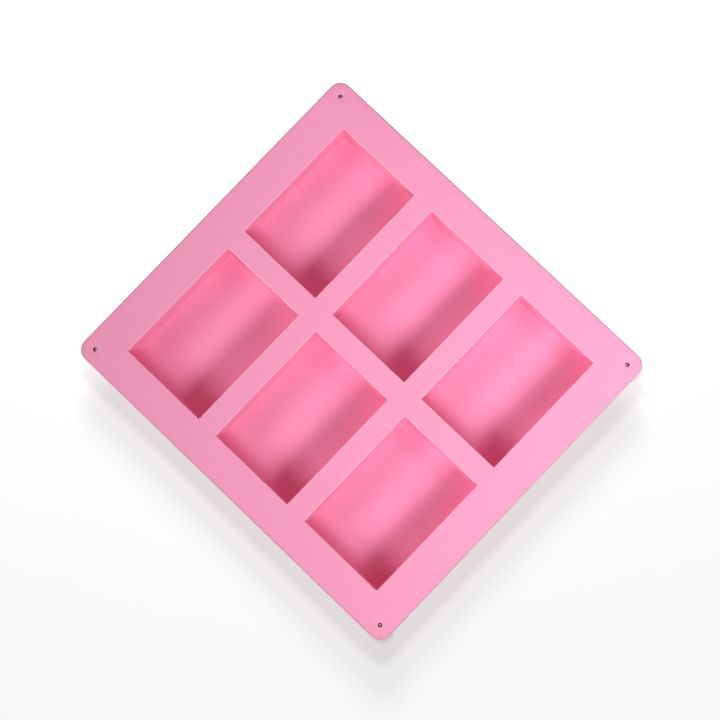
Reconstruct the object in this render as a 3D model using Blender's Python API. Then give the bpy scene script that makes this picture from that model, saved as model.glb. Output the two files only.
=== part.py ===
"""Six-cavity silicone mould for rectangular soap bars.

Metres, +Z up. The origin is on the surface that the mould stands on, under the
middle of the deck. The two rows of three cavities run along +X, and each cavity
is longest along Y. The deck is the flat sheet with the six mouths. A tub hangs
under each mouth, and a small boss hangs under each corner's hanging hole.
"""
import math

import bmesh
import bpy
from mathutils import Matrix, Vector

MM = 0.001

# Driving dimensions: the bar that one cavity casts, and how the cavities are laid out.
BAR_WIDTH = 55.0 * MM
BAR_LENGTH = 80.0 * MM
BAR_THICKNESS = 23.0 * MM
COLUMNS = 3
ROWS = 2
WEB_WIDTH = 13.45 * MM
DECK_WIDTH = 236.0 * MM
DECK_DEPTH = 213.5 * MM
DECK_CORNER_RADIUS = 7.0 * MM
FLOOR_THICKNESS = 2.0 * MM

# Silicone wall sizes.
DECK_THICKNESS = 2.5 * MM
WALL_THICKNESS = 2.2 * MM
DECK_EDGE_ROUND = 0.6 * MM
MOUTH_CORNER_RADIUS = 0.7 * MM
TUB_CORNER_RADIUS = 2.9 * MM
TUB_FOOT_ROUND = 1.5 * MM
FLOOR_FILLET = 1.0 * MM
DRAFT_PER_SIDE = 0.25 * MM

# Hanging holes, one near each corner, with a shallow dish above and a boss below. Each hole
# tapers downwards, as the pin that moulds it does.
HOLE_DIAMETER = 2.4 * MM
HOLE_LOW_DIAMETER = 1.2 * MM
HOLE_INSET = 7.8 * MM
DISH_DIAMETER = 8.4 * MM
DISH_DEPTH = 0.25 * MM
BOSS_DIAMETER = 10.0 * MM
BOSS_HEIGHT = 1.3 * MM
BOSS_EDGE_ROUND = 0.3 * MM

# Every piece keeps this gap to its neighbour.
PIECE_GAP = 0.3 * MM
# A cutter runs this far past the face that it cuts through.
CUT_PAST = 1.0 * MM

SILICONE_COLOUR = (0.94, 0.33, 0.52, 1.0)
SILICONE_ROUGHNESS = 0.48

TOP_Z = FLOOR_THICKNESS + BAR_THICKNESS
DECK_LOW_Z = TOP_Z - DECK_THICKNESS
HANGING_TOP_Z = DECK_LOW_Z - PIECE_GAP
BOSS_LOW_Z = HANGING_TOP_Z - BOSS_HEIGHT
PITCH_X = BAR_WIDTH + WEB_WIDTH
PITCH_Y = BAR_LENGTH + WEB_WIDTH
ROUND_SEGMENTS = 24
CORNER_SEGMENTS = 5


def clear_scene():
    """Remove the objects that a new file opens with."""
    for thing in list(bpy.data.objects):
        bpy.data.objects.remove(thing, do_unlink=True)


def silicone(name):
    """The pigmented silicone of one piece."""
    material = bpy.data.materials.new(name + "_silicone")
    material.use_nodes = True
    shader = material.node_tree.nodes["Principled BSDF"]
    shader.inputs["Base Color"].default_value = SILICONE_COLOUR
    shader.inputs["Roughness"].default_value = SILICONE_ROUGHNESS
    shader.inputs["Metallic"].default_value = 0.0
    return material


def add_object(name, mesh_builder):
    """Turn a bmesh into a named object at the origin."""
    mesh = bpy.data.meshes.new(name)
    mesh_builder.normal_update()
    mesh_builder.to_mesh(mesh)
    mesh_builder.free()
    thing = bpy.data.objects.new(name, mesh)
    bpy.context.scene.collection.objects.link(thing)
    return thing


def finish_piece(thing):
    """Give a piece its material and smooth its rounded edges."""
    thing.data.materials.append(silicone(thing.name))
    thing.data.shade_smooth()
    thing.data.set_sharp_from_angle(angle=math.radians(40.0))


def box_bmesh(width, depth, low, high):
    """A box centred on the Z axis, from one height to another."""
    shape = bmesh.new()
    size = Matrix.Diagonal(Vector((width, depth, high - low, 1.0)))
    place = Matrix.Translation(Vector((0.0, 0.0, (low + high) / 2.0)))
    bmesh.ops.create_cube(shape, size=1.0, matrix=place @ size)
    return shape


def post_bmesh(low_diameter, high_diameter, low, high):
    """A round post on the Z axis, from one height and diameter to another."""
    shape = bmesh.new()
    place = Matrix.Translation(Vector((0.0, 0.0, (low + high) / 2.0)))
    bmesh.ops.create_cone(shape, cap_ends=True, segments=ROUND_SEGMENTS, radius1=low_diameter / 2.0,
                          radius2=high_diameter / 2.0, depth=high - low, matrix=place)
    return shape


def hole_bmesh(low, high):
    """The tapered hanging hole between two heights."""
    def diameter(height):
        share = (height - BOSS_LOW_Z) / (TOP_Z - BOSS_LOW_Z)
        return HOLE_LOW_DIAMETER + (HOLE_DIAMETER - HOLE_LOW_DIAMETER) * share
    return post_bmesh(diameter(low), diameter(high), low, high)


def round_edges(shape, edges, radius, segments):
    """Round a set of edges to a radius."""
    bmesh.ops.bevel(shape, geom=edges, offset=radius, segments=segments, profile=0.5,
                    affect='EDGES', offset_type='OFFSET', material=-1)


def upright_edges(shape):
    """The edges that stand along Z."""
    return [edge for edge in shape.edges
            if abs(edge.verts[0].co.z - edge.verts[1].co.z) > 0.5 * MM
            and (edge.verts[0].co.xy - edge.verts[1].co.xy).length < 0.5 * MM]


def edges_at(shape, height):
    """The edges that lie in one level plane."""
    return [edge for edge in shape.edges
            if all(abs(vert.co.z - height) < 0.01 * MM for vert in edge.verts)]


def face_at(shape, height, facing):
    """The largest level face at a height that faces up (1) or down (-1)."""
    shape.normal_update()
    level = [face for face in shape.faces
             if abs(face.calc_center_median().z - height) < 0.01 * MM and face.normal.z * facing > 0.9]
    return max(level, key=lambda face: face.calc_area())


def cut(thing, cutter):
    """Subtract a hidden cutter from a piece."""
    cutter.hide_render = True
    cutter.display_type = 'WIRE'
    step = thing.modifiers.new("cut_" + cutter.name, 'BOOLEAN')
    step.operation = 'DIFFERENCE'
    step.solver = 'EXACT'
    step.object = cutter


def cavity_centres():
    """Name suffix and centre of each cavity, row by row from the low X and Y corner."""
    for row in range(ROWS):
        for column in range(COLUMNS):
            x = (column - (COLUMNS - 1) / 2.0) * PITCH_X
            y = (row - (ROWS - 1) / 2.0) * PITCH_Y
            yield "r%d_c%d" % (row + 1, column + 1), Vector((x, y, 0.0))


def corner_holes():
    """Name suffix and centre of each hanging hole."""
    x = DECK_WIDTH / 2.0 - HOLE_INSET
    y = DECK_DEPTH / 2.0 - HOLE_INSET
    for across, x_side in (("left", -1.0), ("right", 1.0)):
        for along, y_side in (("front", -1.0), ("back", 1.0)):
            yield along + "_" + across, Vector((x_side * x, y_side * y, 0.0))


def make_top_deck():
    """The flat sheet with six sharp-cornered mouths and four hanging holes."""
    shape = box_bmesh(DECK_WIDTH, DECK_DEPTH, DECK_LOW_Z, TOP_Z)
    round_edges(shape, upright_edges(shape), DECK_CORNER_RADIUS, CORNER_SEGMENTS)
    rims = edges_at(shape, TOP_Z) + edges_at(shape, DECK_LOW_Z)
    round_edges(shape, rims, DECK_EDGE_ROUND, 2)
    deck = add_object("top_deck", shape)
    for suffix, centre in cavity_centres():
        mouth = box_bmesh(BAR_WIDTH, BAR_LENGTH, DECK_LOW_Z - CUT_PAST, TOP_Z + CUT_PAST)
        round_edges(mouth, upright_edges(mouth), MOUTH_CORNER_RADIUS, 2)
        cutter = add_object("mouth_cutter_" + suffix, mouth)
        cutter.location = centre
        cut(deck, cutter)
    for suffix, centre in corner_holes():
        dish = add_object("dish_cutter_" + suffix,
                          post_bmesh(DISH_DIAMETER, DISH_DIAMETER, TOP_Z - DISH_DEPTH, TOP_Z + CUT_PAST))
        dish.location = centre
        cut(deck, dish)
        hole = add_object("hole_cutter_" + suffix, hole_bmesh(DECK_LOW_Z - CUT_PAST, TOP_Z + CUT_PAST))
        hole.location = centre
        cut(deck, hole)
    finish_piece(deck)


def make_cavity_tub(suffix, centre):
    """One open-topped tub: four near-upright walls and a flat floor that shape a bar."""
    shape = box_bmesh(BAR_WIDTH + 2.0 * WALL_THICKNESS, BAR_LENGTH + 2.0 * WALL_THICKNESS,
                      0.0, HANGING_TOP_Z)
    round_edges(shape, upright_edges(shape), TUB_CORNER_RADIUS, CORNER_SEGMENTS)
    round_edges(shape, edges_at(shape, 0.0), TUB_FOOT_ROUND, 3)
    rim = face_at(shape, HANGING_TOP_Z, 1)
    bmesh.ops.inset_region(shape, faces=[rim], thickness=WALL_THICKNESS, use_even_offset=True)
    bottom = bmesh.ops.extrude_discrete_faces(shape, faces=[rim])["faces"][0]
    drop = Vector((0.0, 0.0, FLOOR_THICKNESS - HANGING_TOP_Z))
    bmesh.ops.translate(shape, verts=bottom.verts, vec=drop)
    shrink = Vector((1.0 - 2.0 * DRAFT_PER_SIDE / BAR_WIDTH, 1.0 - 2.0 * DRAFT_PER_SIDE / BAR_LENGTH, 1.0))
    bmesh.ops.scale(shape, verts=bottom.verts, vec=shrink)
    round_edges(shape, list(bottom.edges), FLOOR_FILLET, 2)
    bmesh.ops.translate(shape, verts=shape.verts, vec=centre)
    finish_piece(add_object("cavity_tub_" + suffix, shape))


def make_hanging_boss(suffix, centre):
    """The thicker ring of silicone that keeps a hanging hole from tearing."""
    shape = post_bmesh(BOSS_DIAMETER, BOSS_DIAMETER, BOSS_LOW_Z, HANGING_TOP_Z)
    round_edges(shape, edges_at(shape, BOSS_LOW_Z), BOSS_EDGE_ROUND, 2)
    boss = add_object("hanging_boss_" + suffix, shape)
    boss.location = centre
    hole = add_object("boss_cutter_" + suffix, hole_bmesh(BOSS_LOW_Z - CUT_PAST, HANGING_TOP_Z + CUT_PAST))
    hole.location = centre
    cut(boss, hole)
    finish_piece(boss)


def main():
    clear_scene()
    make_top_deck()
    for suffix, centre in cavity_centres():
        make_cavity_tub(suffix, centre)
    for suffix, centre in corner_holes():
        make_hanging_boss(suffix, centre)


main()
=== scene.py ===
"""Looks for a six-cavity silicone mould for soap bars.

The deck, the six tubs and the four hanging eyelets are one satin pink silicone
moulding, shown as pieces that meet without a seam. Metres, +Z up.
"""
import math

import bmesh
import bpy
from mathutils import Matrix, Vector, noise


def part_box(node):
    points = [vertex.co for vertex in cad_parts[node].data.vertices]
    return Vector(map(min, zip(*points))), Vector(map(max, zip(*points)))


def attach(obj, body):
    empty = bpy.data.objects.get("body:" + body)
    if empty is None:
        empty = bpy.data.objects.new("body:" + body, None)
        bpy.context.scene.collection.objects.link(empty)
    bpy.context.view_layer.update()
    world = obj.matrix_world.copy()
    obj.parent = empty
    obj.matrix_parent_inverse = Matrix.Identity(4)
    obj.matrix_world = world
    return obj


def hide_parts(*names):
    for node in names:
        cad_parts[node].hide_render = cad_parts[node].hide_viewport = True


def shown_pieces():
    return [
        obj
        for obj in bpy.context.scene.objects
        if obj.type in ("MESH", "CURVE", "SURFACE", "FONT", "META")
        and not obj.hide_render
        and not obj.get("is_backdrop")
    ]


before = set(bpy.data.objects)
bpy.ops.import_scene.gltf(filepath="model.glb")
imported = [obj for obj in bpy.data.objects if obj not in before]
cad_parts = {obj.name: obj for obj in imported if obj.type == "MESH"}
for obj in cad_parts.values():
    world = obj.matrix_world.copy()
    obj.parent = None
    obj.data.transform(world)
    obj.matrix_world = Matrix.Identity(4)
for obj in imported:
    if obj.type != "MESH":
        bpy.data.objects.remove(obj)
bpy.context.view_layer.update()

MM = 0.001

# ---------------------------------------------------------------- sizes
BODY = "root"
DECK_LOW, DECK_HIGH = (Vector(corner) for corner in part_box("top_deck"))
TUB_NODES = sorted(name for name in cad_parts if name.startswith("cavity_tub_"))
BOSS_NODES = sorted(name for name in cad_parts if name.startswith("hanging_boss_"))
TOP_Z = DECK_HIGH.z
UNDER_Z = DECK_LOW.z

WALL = 2.2 * MM
FLOOR = 2.0 * MM
DECK_CORNER = 7.0 * MM
DECK_EDGE = 0.8 * MM
MOUTH_CORNER = 0.7 * MM
LIP = 0.45 * MM
TUB_CORNER = MOUTH_CORNER + WALL
TUB_FOOT = 1.5 * MM
FLOOR_FILLET = 0.3 * MM
DRAFT = 0.25 * MM
ROOT_FILLET = 1.6 * MM
DISH_RADIUS = 4.2 * MM
HOLE_RADIUS = 1.2 * MM
HOLE_LOW_RADIUS = 0.45 * MM
DISH_DEPTH = 0.28 * MM
GRID = 5.0 * MM
TUCK = 0.02 * MM
# painted shade on the lips that turn away from the light, and on one long wall of each cavity
LIP_SHADE = 0.55
WALL_SHADE = 0.13


def tub_box(node):
    """Centre and half size of a tub's outside, from its CAD node."""
    low, high = (Vector(corner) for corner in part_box(node))
    return (low + high) / 2.0, (high - low) / 2.0


HOLE_CENTRES = [tub_box(node)[0] for node in BOSS_NODES]


# ---------------------------------------------------------------- camera
CAMERA_PLACE = Vector((0.1131, -0.0559, TOP_Z + 1.1035))
CAMERA_AIM = Vector((0.0013, -0.0012, TOP_Z))
CAMERA_UP = Vector((-0.6854, 0.7206, 0.1052))
LENS_MM = 100.0


def add_camera():
    """A long lens almost above the deck, turned so that a corner points up."""
    look = (CAMERA_AIM - CAMERA_PLACE).normalized()
    right = look.cross(CAMERA_UP).normalized()
    up = right.cross(look)
    turn = Matrix((right, up, -look)).transposed()
    data = bpy.data.cameras.new("camera")
    data.lens = LENS_MM
    data.sensor_width = 36.0
    data.clip_start = 0.01
    camera = bpy.data.objects.new("camera", data)
    camera.matrix_world = Matrix.Translation(CAMERA_PLACE) @ turn.to_4x4()
    bpy.context.scene.collection.objects.link(camera)
    bpy.context.scene.camera = camera


# ---------------------------------------------------------------- node helpers
def new_material(name):
    """A material with its Principled shader, and a function that adds nodes to it."""
    material = bpy.data.materials.new(name)
    material.use_nodes = True
    tree = material.node_tree
    shader = tree.nodes["Principled BSDF"]
    return material, tree, shader


def add_noise(tree, place, scale, detail, roughness):
    """A noise texture on object coordinates."""
    node = tree.nodes.new("ShaderNodeTexNoise")
    node.inputs["Scale"].default_value = scale
    node.inputs["Detail"].default_value = detail
    node.inputs["Roughness"].default_value = roughness
    tree.links.new(place, node.inputs["Vector"])
    return node.outputs["Fac"]


def add_range(tree, value, from_low, from_high, to_low, to_high):
    """A value moved from one range to another, and held inside it."""
    node = tree.nodes.new("ShaderNodeMapRange")
    node.inputs["From Min"].default_value = from_low
    node.inputs["From Max"].default_value = from_high
    node.inputs["To Min"].default_value = to_low
    node.inputs["To Max"].default_value = to_high
    tree.links.new(value, node.inputs["Value"])
    return node.outputs["Result"]


def add_mix(tree, factor, first, second):
    """A colour mixed from two, each a socket or a plain colour."""
    node = tree.nodes.new("ShaderNodeMix")
    node.data_type = 'RGBA'
    tree.links.new(factor, node.inputs[0])
    for socket, colour in ((node.inputs[6], first), (node.inputs[7], second)):
        if isinstance(colour, tuple):
            socket.default_value = colour
        else:
            tree.links.new(colour, socket)
    return node.outputs[2]


def add_weight(tree, name):
    """A number stored with each point of the mesh."""
    node = tree.nodes.new("ShaderNodeAttribute")
    node.attribute_name = name
    return node.outputs["Fac"]


def add_bump(tree, height, strength, distance, under=None):
    """A bump on top of another."""
    node = tree.nodes.new("ShaderNodeBump")
    node.inputs["Strength"].default_value = strength
    node.inputs["Distance"].default_value = distance
    tree.links.new(height, node.inputs["Height"])
    if under is not None:
        tree.links.new(under, node.inputs["Normal"])
    return node.outputs["Normal"]


# ---------------------------------------------------------------- materials
PINK = (0.865, 0.322, 0.512, 1.0)
PINK_DEEP = (0.855, 0.302, 0.492, 1.0)
# painted highlight: the lighter colour along the mouth lips
PINK_LIP_HIGHLIGHT = (0.970, 0.440, 0.610, 1.0)
# painted light: the paler colour of the open top
PINK_TOP_LIGHT = (0.880, 0.345, 0.530, 1.0)
# painted glow: a weak red glow that stands in for light scattered inside the silicone
GLOW = (1.000, 0.080, 0.220, 1.0)
SHEET_GLOW = 0.67
# centre of the painted dark spot on the sheet under each hanging hole, folded into one quarter
HOLE_SHADOW_SPOT = (0.1127, 0.1012, 0.0)
# painted shade: the dark colour of the hole walls, turned lips and one long wall
PINK_SHADE = (0.340, 0.050, 0.110, 1.0)
# painted shade: the darker grey of the deck's outer rim
PINK_RIM_SHADE = (0.440, 0.250, 0.310, 1.0)


def pink_silicone():
    """Satin pigmented silicone with a fine moulded grain and cloudy pigment, with painted light and shade: a
    paler top, lighter lips, a darker rim, darker hole walls, lips and one long wall, and a weak painted glow.
    """
    material, tree, shader = new_material("pink_silicone")
    place = tree.nodes.new("ShaderNodeTexCoord").outputs["Object"]
    clouds = add_noise(tree, place, 28.0, 3.0, 0.55)
    cloudy = add_range(tree, clouds, 0.35, 0.65, 0.0, 1.0)
    base = add_mix(tree, cloudy, PINK, PINK_DEEP)
    # painted light: the open top painted paler
    base = add_mix(tree, add_weight(tree, "painted_top_light"), base, PINK_TOP_LIGHT)
    # painted highlight along the mouth lips
    base = add_mix(tree, add_weight(tree, "lip_highlight"), base, PINK_LIP_HIGHLIGHT)
    # painted shade on the outer rim
    base = add_mix(tree, add_weight(tree, "rim_shade"), base, PINK_RIM_SHADE)
    # painted shade in the holes, on turned lips and on one long wall
    base = add_mix(tree, add_weight(tree, "shade"), base, PINK_SHADE)
    tree.links.new(base, shader.inputs["Base Color"])
    smears = add_noise(tree, place, 90.0, 4.0, 0.6)
    tree.links.new(add_range(tree, smears, 0.3, 0.7, 0.44, 0.56), shader.inputs["Roughness"])
    grain = add_noise(tree, place, 2600.0, 2.0, 0.5)
    ripple = add_noise(tree, place, 160.0, 2.0, 0.5)
    under = add_bump(tree, ripple, 1.0, 0.00006)
    tree.links.new(add_bump(tree, grain, 1.0, 0.000008, under), shader.inputs["Normal"])
    shader.inputs["Specular IOR Level"].default_value = 0.35
    # painted glow, held back to nothing where shade is painted
    tree.links.new(add_mix(tree, add_weight(tree, "shade"), GLOW, (0.0, 0.0, 0.0, 1.0)),
                   shader.inputs["Emission Color"])
    shader.inputs["Emission Strength"].default_value = 0.11
    shader.inputs["Sheen Weight"].default_value = 0.05
    shader.inputs["Sheen Roughness"].default_value = 0.5
    return material


def add_math(tree, kind, first, second):
    """A sum on two values, each a socket or a plain number."""
    node = tree.nodes.new("ShaderNodeMath")
    node.operation = kind
    for socket, value in zip(node.inputs, (first, second)):
        if isinstance(value, float):
            socket.default_value = value
        else:
            tree.links.new(value, socket)
    return node.outputs["Value"]


def pale_floor():
    """A matt white sheet that glows as if lit from behind, with painted shadow under the mould and painted dark
    spots under its hanging holes.
    """
    material, tree, shader = new_material("floor_white")
    place = tree.nodes.new("ShaderNodeTexCoord").outputs["Object"]
    tone = add_noise(tree, place, 3.0, 2.0, 0.5)
    shade = add_mix(tree, tone, (0.29, 0.29, 0.29, 1.0), (0.31, 0.31, 0.31, 1.0))
    fold = tree.nodes.new("ShaderNodeVectorMath")
    fold.operation = 'ABSOLUTE'
    tree.links.new(place, fold.inputs[0])
    beyond = tree.nodes.new("ShaderNodeVectorMath")
    beyond.operation = 'SUBTRACT'
    beyond.inputs[1].default_value = (DECK_HIGH.x, DECK_HIGH.y, 0.0)
    tree.links.new(fold.outputs["Vector"], beyond.inputs[0])
    split = tree.nodes.new("ShaderNodeSeparateXYZ")
    tree.links.new(beyond.outputs["Vector"], split.inputs["Vector"])
    gap = add_math(tree, 'MAXIMUM', split.outputs["X"], split.outputs["Y"])
    under_hole = tree.nodes.new("ShaderNodeVectorMath")
    under_hole.operation = 'DISTANCE'
    under_hole.inputs[1].default_value = HOLE_SHADOW_SPOT
    tree.links.new(fold.outputs["Vector"], under_hole.inputs[0])
    # painted shadow: the sheet's colour and glow are dimmed under the mould and in a dark spot under each
    # hanging hole
    shaded = add_range(tree, gap, -45.0 * MM, -1.0 * MM, 0.35, 1.0)
    hole_shadow = add_range(tree, under_hole.outputs["Value"], 2.0 * MM, 8.0 * MM, 0.40, 1.0)
    lit = add_math(tree, 'MULTIPLY', shaded, hole_shadow)
    dark = (0.0, 0.0, 0.0, 1.0)
    tree.links.new(add_mix(tree, lit, dark, shade), shader.inputs["Base Color"])
    tree.links.new(add_mix(tree, lit, dark, (1.0, 1.0, 1.0, 1.0)), shader.inputs["Emission Color"])
    shader.inputs["Emission Strength"].default_value = SHEET_GLOW
    shader.inputs["Roughness"].default_value = 0.9
    shader.inputs["Specular IOR Level"].default_value = 0.1
    return material


# ---------------------------------------------------------------- mesh helpers
def round_edges(shape, edges, radius, segments):
    """Round a set of edges to a radius."""
    bmesh.ops.bevel(shape, geom=edges, offset=radius, segments=segments, profile=0.5,
                    affect='EDGES', offset_type='OFFSET', material=-1, clamp_overlap=False)


def slice_at(shape, axis, places):
    """Cut a shape through by level planes, so that it can bend there."""
    for place in places:
        point = Vector((0.0, 0.0, 0.0))
        point[axis] = place
        normal = Vector((0.0, 0.0, 0.0))
        normal[axis] = 1.0
        parts = shape.verts[:] + shape.edges[:] + shape.faces[:]
        bmesh.ops.bisect_plane(shape, geom=parts, dist=0.00001, plane_co=point, plane_no=normal)


def evenly(low, high, spacing):
    """Places between two ends, about a spacing apart."""
    count = max(1, round((high - low) / spacing))
    return [low + (high - low) * step / count for step in range(1, count)]


def block(centre, half):
    """A box from its centre and half size."""
    shape = bmesh.new()
    size = Matrix.Diagonal(Vector((2.0 * half.x, 2.0 * half.y, 2.0 * half.z, 1.0)))
    bmesh.ops.create_cube(shape, size=1.0, matrix=Matrix.Translation(centre) @ size)
    return shape


def is_upright(edge):
    """True where an edge stands along Z."""
    low, high = (vert.co for vert in edge.verts)
    return abs(low.z - high.z) > 0.3 * MM and (low.xy - high.xy).length < 0.05 * MM


def level_edges(shape, height, keep):
    """Edges in one level plane whose two ends both pass a test."""
    return [edge for edge in shape.edges
            if all(abs(vert.co.z - height) < 0.01 * MM and keep(vert.co) for vert in edge.verts)]


def settle(point):
    """How flexible silicone rests: the free rim droops a little, and long walls bow slightly."""
    depth = min(1.0, max(0.0, (TOP_Z - point.z) / TOP_Z))
    block_x = 98.2 * MM
    block_y = 89.0 * MM
    beyond = Vector((max(0.0, abs(point.x) - block_x), max(0.0, abs(point.y) - block_y))).length
    droop = 0.9 * MM * (beyond / (28.0 * MM)) ** 2
    swell = noise.noise_vector(Vector((point.x * 14.0 + 3.1, point.y * 14.0 + 7.7, 0.4)))
    wave = 0.5 * (1.0 + swell.z) * 0.28 * MM * min(1.0, beyond / (10.0 * MM))
    sway = 0.42 * MM * math.sin(math.pi * min(depth * 1.05, 1.0) * 0.5)
    near = noise.noise_vector(Vector((point.x * 30.0 + 1.7, point.y * 30.0 + 4.2, depth * 0.8)))
    lip = 0.06 * MM
    return Vector((
        hold_inside(point.x + near.x * (sway + lip), DECK_HIGH.x),
        hold_inside(point.y + near.y * (sway + lip), DECK_HIGH.y),
        point.z - (droop + wave) * (1.0 - depth),
    ))


def hold_inside(place, limit):
    """A place along one axis, held just inside the deck's outline."""
    limit -= 0.005 * MM
    return max(-limit, min(limit, place))


def store_weights(mesh, name, weights):
    """Keep one number for each point as an attribute of the mesh."""
    layer = mesh.attributes.new(name, 'FLOAT', 'POINT')
    layer.data.foreach_set("value", weights)


def top_light_weight(point):
    """Painted light: one on the open top of the deck, which is painted paler, falling to nothing a little way
    below it.
    """
    return max(0.0, min(1.0, 1.0 - (TOP_Z - 0.3 * MM - point.z) / (1.6 * MM)))


def shade(point):
    """Painted shade: how dark the silicone is painted on the hole walls, on the lips that turn away from the
    light, and on one long wall.
    """
    if UNDER_Z - 1.55 * MM < point.z < TOP_Z - DISH_DEPTH - 0.05 * MM:
        if min((point.xy - centre.xy).length for centre in HOLE_CENTRES) < HOLE_RADIUS + 0.02 * MM:
            return 1.0
    for centre, half in mouth_boxes():
        away = point - centre
        gap = edge_gap(point, centre, half, MOUTH_CORNER)
        if abs(gap) > 0.5 * MM:
            continue
        if point.z > TOP_Z - 0.6 * MM:
            turned = away.y < -half.y + 0.5 * MM or away.x > half.x - 0.5 * MM
            return LIP_SHADE * max(0.0, 1.0 - gap / (0.35 * MM)) if turned else 0.0
        if point.z < UNDER_Z + 0.1 * MM and away.x < -half.x + 0.6 * MM:
            return WALL_SHADE
    return 0.0


def finish_piece(shape, name, material, nodes, lip_highlight):
    """Settle a shape, make it an object, attach it to the body, and hide the CAD parts it replaces."""
    lip_highlight_weights = [lip_highlight(vert.co) for vert in shape.verts]
    top_light_weights = [top_light_weight(vert.co) for vert in shape.verts]
    rim_shade_weights = [rim_shade(vert.co) for vert in shape.verts]
    shade_weights = [min(1.0, shade(vert.co)) for vert in shape.verts]
    for vert in shape.verts:
        vert.co = settle(vert.co)
    for face in shape.faces:
        face.smooth = True
    bmesh.ops.recalc_face_normals(shape, faces=shape.faces)
    mesh = bpy.data.meshes.new(name)
    shape.to_mesh(mesh)
    shape.free()
    store_weights(mesh, "lip_highlight", lip_highlight_weights)
    store_weights(mesh, "painted_top_light", top_light_weights)
    store_weights(mesh, "rim_shade", rim_shade_weights)
    store_weights(mesh, "shade", shade_weights)
    mesh.set_sharp_from_angle(angle=math.radians(50.0))
    mesh.materials.append(material)
    piece = bpy.data.objects.new(name, mesh)
    bpy.context.scene.collection.objects.link(piece)
    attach(piece, BODY)
    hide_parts(*nodes)
    return piece


# ---------------------------------------------------------------- the moulding
def mouth_boxes():
    """Centre and half size of each mouth, seen from above."""
    boxes = []
    for node in TUB_NODES:
        centre, half = tub_box(node)
        boxes.append((centre, Vector((half.x - WALL, half.y - WALL, 0.0))))
    return boxes


def open_window(shape, centre, half, corner, segments):
    """Cut a rounded rectangular window through the deck, along planes that are already there."""
    def inside(point, slack):
        away = point - centre
        return abs(away.x) < half.x + slack and abs(away.y) < half.y + slack
    lids = [face for face in shape.faces
            if abs(face.normal.z) > 0.9 and inside(face.calc_center_median(), 0.0)]
    bmesh.ops.delete(shape, geom=lids, context='FACES')
    rims = [edge for edge in shape.edges
            if edge.is_boundary and all(inside(vert.co, 0.01 * MM) for vert in edge.verts)]
    bmesh.ops.bridge_loops(shape, edges=rims)

    def at_corner(point):
        away = point - centre
        return abs(abs(away.x) - half.x) < 0.01 * MM and abs(abs(away.y) - half.y) < 0.01 * MM
    posts = [edge for edge in shape.edges
             if is_upright(edge) and all(at_corner(vert.co) for vert in edge.verts)]
    round_edges(shape, posts, corner, segments)


def edge_gap(point, centre, half, corner):
    """Distance outside (or, negative, inside) a rounded rectangle, seen from above."""
    away = point - centre
    x = abs(away.x) - (half.x - corner)
    y = abs(away.y) - (half.y - corner)
    outside = Vector((max(x, 0.0), max(y, 0.0))).length
    return outside + min(max(x, y), 0.0) - corner


def rim_shade(point):
    """Painted shade: one on the deck's outer edge, painted a darker grey, falling to nothing a little way inside
    it.
    """
    if point.z < UNDER_Z - 0.1 * MM:
        return 0.0
    centre = (DECK_LOW + DECK_HIGH) / 2.0
    half = (DECK_HIGH - DECK_LOW) / 2.0
    return max(0.0, min(1.0, 1.0 + edge_gap(point, centre, half, DECK_CORNER) / (1.2 * MM)))


def make_deck(material):
    """The deck: rounded outer edge, six sharp mouths with a fine lip, four round seats for the eyelets."""
    centre = (DECK_LOW + DECK_HIGH) / 2.0
    half = (DECK_HIGH - DECK_LOW) / 2.0
    shape = block(centre, half)
    round_edges(shape, [edge for edge in shape.edges if is_upright(edge)], DECK_CORNER, 14)
    rims = level_edges(shape, TOP_Z, lambda point: True) + level_edges(shape, UNDER_Z, lambda point: True)
    round_edges(shape, rims, DECK_EDGE, 5)
    mouths = mouth_boxes()
    seats = []
    for node in BOSS_NODES:
        seat_centre, _ = tub_box(node)
        seats.append((seat_centre, Vector((DISH_RADIUS, DISH_RADIUS, 0.0))))
    for axis in (0, 1):
        lines = {round(box[0][axis] + side * box[1][axis], 6) for box in mouths + seats for side in (-1, 1)}
        slice_at(shape, axis, sorted(lines))
    shape.normal_update()
    for window_centre, window_half in mouths:
        open_window(shape, window_centre, window_half, MOUTH_CORNER, 5)
    for window_centre, window_half in seats:
        open_window(shape, window_centre, window_half, DISH_RADIUS * 0.999, 10)
    for window_centre, window_half in mouths:
        def on_mouth(point, c=window_centre, h=window_half):
            return abs(edge_gap(point, c, h, MOUTH_CORNER)) < 0.02 * MM
        round_edges(shape, level_edges(shape, TOP_Z, on_mouth), LIP, 4)
    for axis in (0, 1):
        support = 0.35 * MM
        lines = {round(box[0][axis] + side * (box[1][axis] + LIP + support), 6)
                 for box in mouths for side in (-1, 1)}
        lines |= {round(side * (half[axis] - DECK_EDGE - support), 6) for side in (-1, 1)}
        marks = sorted(lines | {-half[axis], half[axis]})
        between = []
        for low, high in zip(marks, marks[1:]):
            between += evenly(low, high, GRID)
        slice_at(shape, axis, sorted(lines) + between)

    # Painted highlight: a lighter band along each mouth's lip, where the rounded edge catches the light.
    def lip_highlight(point):
        gaps = [abs(edge_gap(point, c, h, MOUTH_CORNER) - 0.3 * MM) for c, h in mouths]
        return max(0.0, 1.0 - min(gaps) / (0.5 * MM)) if point.z > TOP_Z - 0.4 * MM else 0.0
    finish_piece(shape, "deck_skin", material, ["top_deck"], lip_highlight)


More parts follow.
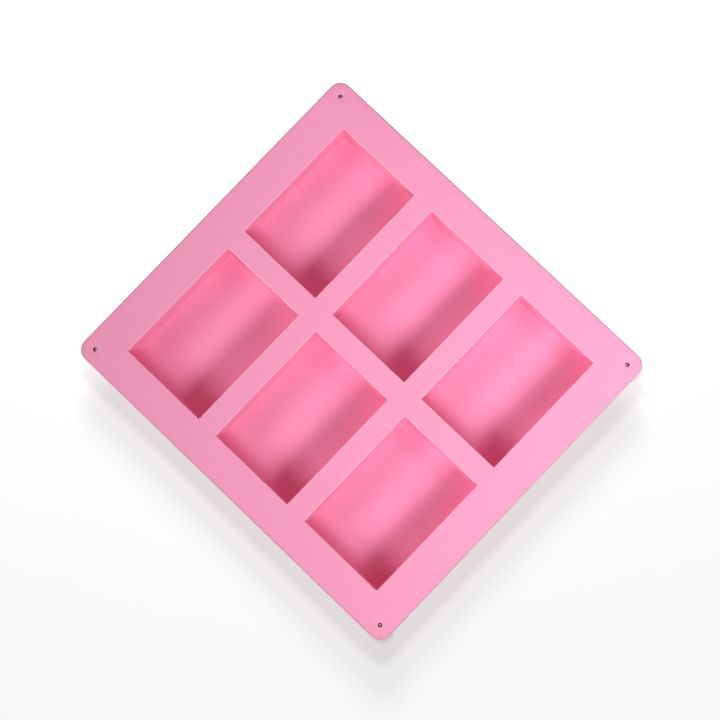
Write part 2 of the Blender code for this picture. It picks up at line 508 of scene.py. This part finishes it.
def make_tub(node, material):
    """One tub: sharp inner corners, a small fillet round the floor, a rounded foot and a root fillet."""
    low, high = (Vector(corner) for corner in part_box(node))
    high.z = UNDER_Z + TUCK
    centre = (low + high) / 2.0
    half = (high - low) / 2.0
    shape = block(centre, half)
    round_edges(shape, [edge for edge in shape.edges if is_upright(edge)], TUB_CORNER, 8)
    round_edges(shape, level_edges(shape, low.z, lambda point: True), TUB_FOOT, 5)
    shape.normal_update()
    rim = max((face for face in shape.faces if face.normal.z > 0.9), key=lambda face: face.calc_area())
    bmesh.ops.inset_region(shape, faces=[rim], thickness=WALL, use_even_offset=True)
    floor = bmesh.ops.extrude_discrete_faces(shape, faces=[rim])["faces"][0]
    bmesh.ops.translate(shape, verts=floor.verts, vec=Vector((0.0, 0.0, FLOOR - high.z)))
    shrink = Matrix.Diagonal(Vector((1.0 - DRAFT / (half.x - WALL), 1.0 - DRAFT / (half.y - WALL), 1.0, 1.0)))
    spin = Matrix.Translation(centre) @ shrink @ Matrix.Translation(-centre)
    bmesh.ops.transform(shape, matrix=spin, verts=floor.verts)
    round_edges(shape, list(floor.edges), FLOOR_FILLET, 5)
    for axis in (0, 1):
        inner = half[axis] - WALL - DRAFT - FLOOR_FILLET
        marks = [centre[axis] + side * (inner - 0.4 * MM) for side in (-1, 1)]
        slice_at(shape, axis, marks + evenly(marks[0], marks[1], GRID))
    root = [high.z - ROOT_FILLET * share for share in (1.0, 0.75, 0.5, 0.3, 0.15, 0.05)]
    slice_at(shape, 2, root + evenly(FLOOR + FLOOR_FILLET + 0.4 * MM, root[0], GRID))
    outline = Vector((half.x, half.y, 0.0))
    for vert in shape.verts:
        rise = vert.co.z - root[0]
        gap = edge_gap(vert.co, centre, outline, TUB_CORNER)
        if rise > 0.0 and abs(gap) < 0.05 * MM:
            grow = ROOT_FILLET - math.sqrt(max(0.0, ROOT_FILLET ** 2 - rise ** 2))
            core = Vector((max(-half.x + TUB_CORNER, min(half.x - TUB_CORNER, vert.co.x - centre.x)),
                           max(-half.y + TUB_CORNER, min(half.y - TUB_CORNER, vert.co.y - centre.y)), 0.0))
            away = vert.co - centre - core
            away.z = 0.0
            vert.co += away.normalized() * grow
    finish_piece(shape, node.replace("cavity_tub", "tub_skin"), material, [node], lambda point: 0.0)


def make_eyelet(node, material):
    """A hanging hole with its shallow dish and the thicker boss under the deck, turned from one profile."""
    low, high = (Vector(corner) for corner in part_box(node))
    centre = (low + high) / 2.0
    boss = (high.x - low.x) / 2.0
    hole = HOLE_RADIUS
    outline = [
        (DISH_RADIUS + 0.25 * MM, TOP_Z - 0.20 * MM),
        (DISH_RADIUS + 0.02 * MM, TOP_Z - 0.02 * MM),
        (DISH_RADIUS - 0.35 * MM, TOP_Z - 0.09 * MM),
        (DISH_RADIUS - 0.90 * MM, TOP_Z - DISH_DEPTH * 0.85),
        (DISH_RADIUS - 1.50 * MM, TOP_Z - DISH_DEPTH),
        (hole + 0.45 * MM, TOP_Z - DISH_DEPTH),
        (hole + 0.15 * MM, TOP_Z - DISH_DEPTH - 0.08 * MM),
        (hole, TOP_Z - DISH_DEPTH - 0.35 * MM),
        (HOLE_LOW_RADIUS + 0.05 * MM, low.z + 0.30 * MM),
        (HOLE_LOW_RADIUS + 0.10 * MM, low.z + 0.06 * MM),
        (HOLE_LOW_RADIUS + 0.40 * MM, low.z),
        (boss - 0.60 * MM, low.z),
        (boss - 0.20 * MM, low.z + 0.10 * MM),
        (boss, low.z + 0.50 * MM),
        (boss, UNDER_Z - 0.30 * MM),
        (boss + 0.30 * MM, UNDER_Z + TUCK),
    ]
    shape = bmesh.new()
    ring = [shape.verts.new((centre.x + radius, centre.y, height)) for radius, height in outline]
    edges = [shape.edges.new(pair) for pair in zip(ring, ring[1:] + ring[:1])]
    bmesh.ops.spin(shape, geom=ring + edges, cent=centre, axis=(0.0, 0.0, 1.0), angle=2.0 * math.pi,
                   steps=40, use_merge=True)
    bmesh.ops.remove_doubles(shape, verts=shape.verts, dist=0.000001)
    finish_piece(shape, node.replace("hanging_boss", "eyelet_skin"), material, [node], lambda point: 0.0)


# ---------------------------------------------------------------- floor and light
def add_floor():
    """A wide white surface under the mould."""
    shape = bmesh.new()
    bmesh.ops.create_grid(shape, x_segments=8, y_segments=8, size=4.0)
    mesh = bpy.data.meshes.new("floor")
    shape.to_mesh(mesh)
    shape.free()
    mesh.materials.append(pale_floor())
    floor = bpy.data.objects.new("floor", mesh)
    bpy.context.scene.collection.objects.link(floor)
    floor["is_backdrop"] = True
    return floor


def add_softbox(name, turn_deg, tilt_deg, distance, size, power, receivers, aim, spread_deg):
    """A round soft light, aimed at a point, that lights only the objects given.

    turn_deg is its bearing from +X towards +Y, tilt_deg its angle from straight above, and
    spread_deg how wide its beam is.
    """
    turn = math.radians(turn_deg)
    tilt = math.radians(tilt_deg)
    away = Vector((math.sin(tilt) * math.cos(turn), math.sin(tilt) * math.sin(turn), math.cos(tilt)))
    data = bpy.data.lights.new(name, 'AREA')
    data.shape = 'DISK'
    data.size = size
    data.energy = power
    data.spread = math.radians(spread_deg)
    lamp = bpy.data.objects.new(name, data)
    place = Vector((0.0, 0.0, TOP_Z)) + distance * away
    facing = (aim - place).to_track_quat('-Z', 'Y').to_matrix().to_4x4()
    lamp.matrix_world = Matrix.Translation(place) @ facing
    bpy.context.scene.collection.objects.link(lamp)
    group = bpy.data.collections.new(name + "_lights")
    for thing in receivers:
        group.objects.link(thing)
    lamp.light_linking.receiver_collection = group


def add_studio(moulding, floor_sheet):
    """Soft lights on the silicone from both sides, and their own soft lights on the sheet below."""
    bright = Vector((0.130, 0.140, TOP_Z))
    middle = Vector((0.0, 0.0, TOP_Z))
    add_softbox("key", -13.0, 46.0, 1.40, 0.53, 1.25, moulding, bright, 48.0)
    add_softbox("near_side", 36.0, 46.0, 0.65, 0.22, 0.20, moulding, bright, 80.0)
    add_softbox("across", 224.0, 50.0, 1.60, 0.80, 1.27, moulding, bright, 48.0)
    add_softbox("low_front", 300.0, 60.0, 1.00, 0.50, 0.14, moulding, bright, 80.0)
    add_softbox("low_back", 120.0, 60.0, 1.00, 0.50, 0.8, moulding, middle, 180.0)
    add_softbox("sheet_high", 134.0, 27.0, 1.60, 0.35, 15.0, [floor_sheet], middle, 180.0)
    add_softbox("sheet_low", 134.0, 54.7, 1.60, 0.54, 24.6, [floor_sheet], middle, 180.0)
    add_fill(0.06)


def add_fill(strength):
    """An even white surround, dim as a light and bright as a backdrop."""
    world = bpy.data.worlds.new("surround")
    world.use_nodes = True
    sky = world.node_tree.nodes["Background"]
    sky.inputs["Color"].default_value = (1.0, 1.0, 1.0, 1.0)
    path = world.node_tree.nodes.new("ShaderNodeLightPath")
    bright = add_range(world.node_tree, path.outputs["Is Camera Ray"], 0.0, 1.0, strength, 0.95)
    world.node_tree.links.new(bright, sky.inputs["Strength"])
    bpy.context.scene.world = world


# ---------------------------------------------------------------- build
add_camera()
silicone = pink_silicone()
make_deck(silicone)
for tub_node in TUB_NODES:
    make_tub(tub_node, silicone)
for boss_node in BOSS_NODES:
    make_eyelet(boss_node, silicone)
floor_sheet = add_floor()
moulding = [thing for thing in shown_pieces() if thing is not floor_sheet]
add_studio(moulding, floor_sheet)
bpy.context.scene.view_settings.view_transform = 'Standard'
